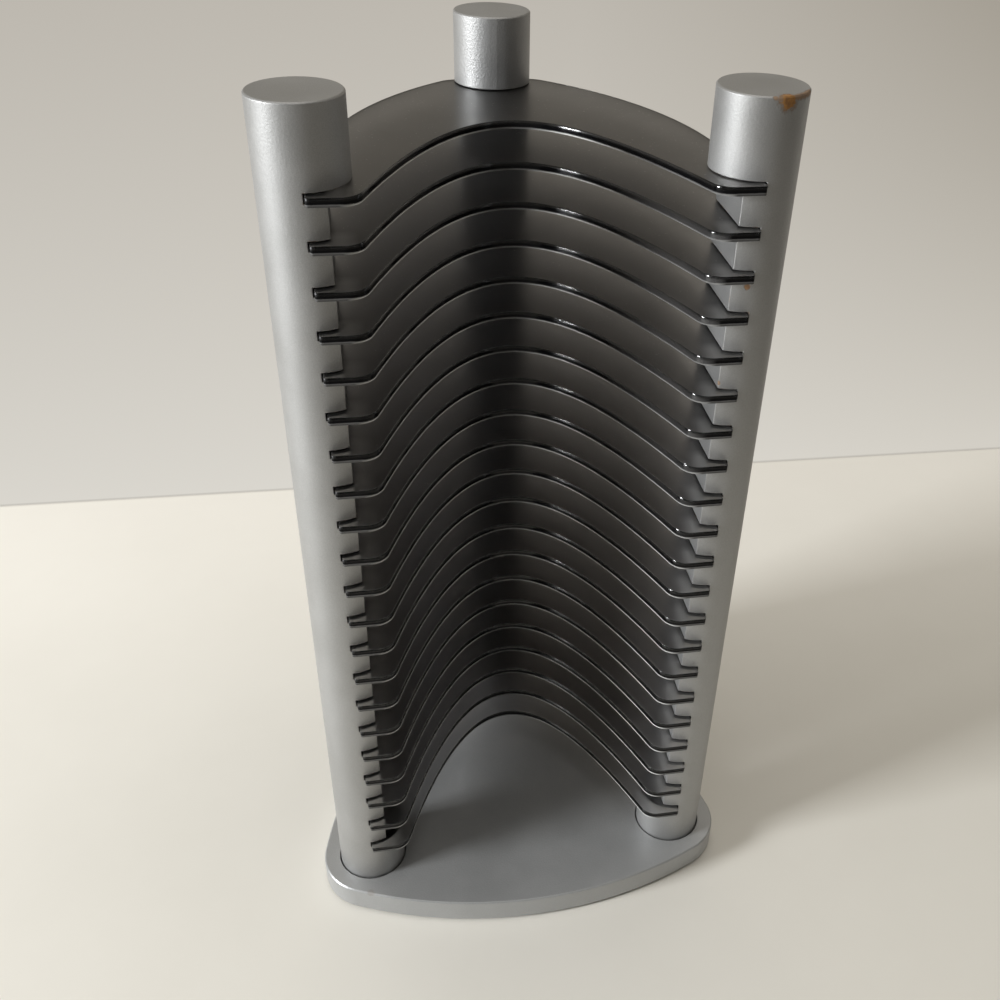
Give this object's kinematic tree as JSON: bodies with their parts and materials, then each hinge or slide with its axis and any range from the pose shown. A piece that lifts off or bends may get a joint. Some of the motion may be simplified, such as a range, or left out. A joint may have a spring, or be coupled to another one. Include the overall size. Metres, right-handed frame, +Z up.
{
  "type": "media tower",
  "caption": "Table-top tower for disc cases: slotted round posts on a bowed triangular base carry a stack of dark crescent shelves, open at the front",
  "frame": {"origin": "on the floor, in the middle of the base plate's box", "axes": "X runs to the right as seen from the open front, Y runs to the back, Z runs up"},
  "size_m": [0.1906, 0.1746, 0.3645],
  "materials": {
    "silver_paint": "satin silver paint",
    "dark_sheet": "satin, nearly black",
    "screw_steel": "plain",
    "felt": "matte"
  },
  "bodies": {
    "root": {"base_plate": "silver_paint", "post_left": "silver_paint", "post_right": "silver_paint", "post_rear": "silver_paint", "shelf_01": "dark_sheet", "shelf_02": "dark_sheet", "shelf_03": "dark_sheet", "shelf_04": "dark_sheet", "shelf_05": "dark_sheet", "shelf_06": "dark_sheet", "shelf_07": "dark_sheet", "shelf_08": "dark_sheet", "shelf_09": "dark_sheet", "shelf_10": "dark_sheet", "shelf_11": "dark_sheet", "shelf_12": "dark_sheet", "shelf_13": "dark_sheet", "shelf_14": "dark_sheet", "shelf_15": "dark_sheet", "shelf_16": "dark_sheet", "shelf_17": "dark_sheet", "shelf_18": "dark_sheet", "shelf_19": "dark_sheet", "shelf_20": "dark_sheet", "shelf_21": "dark_sheet", "post_screws": "screw_steel", "felt_pads": "felt"}
  },
  "joints": []
}
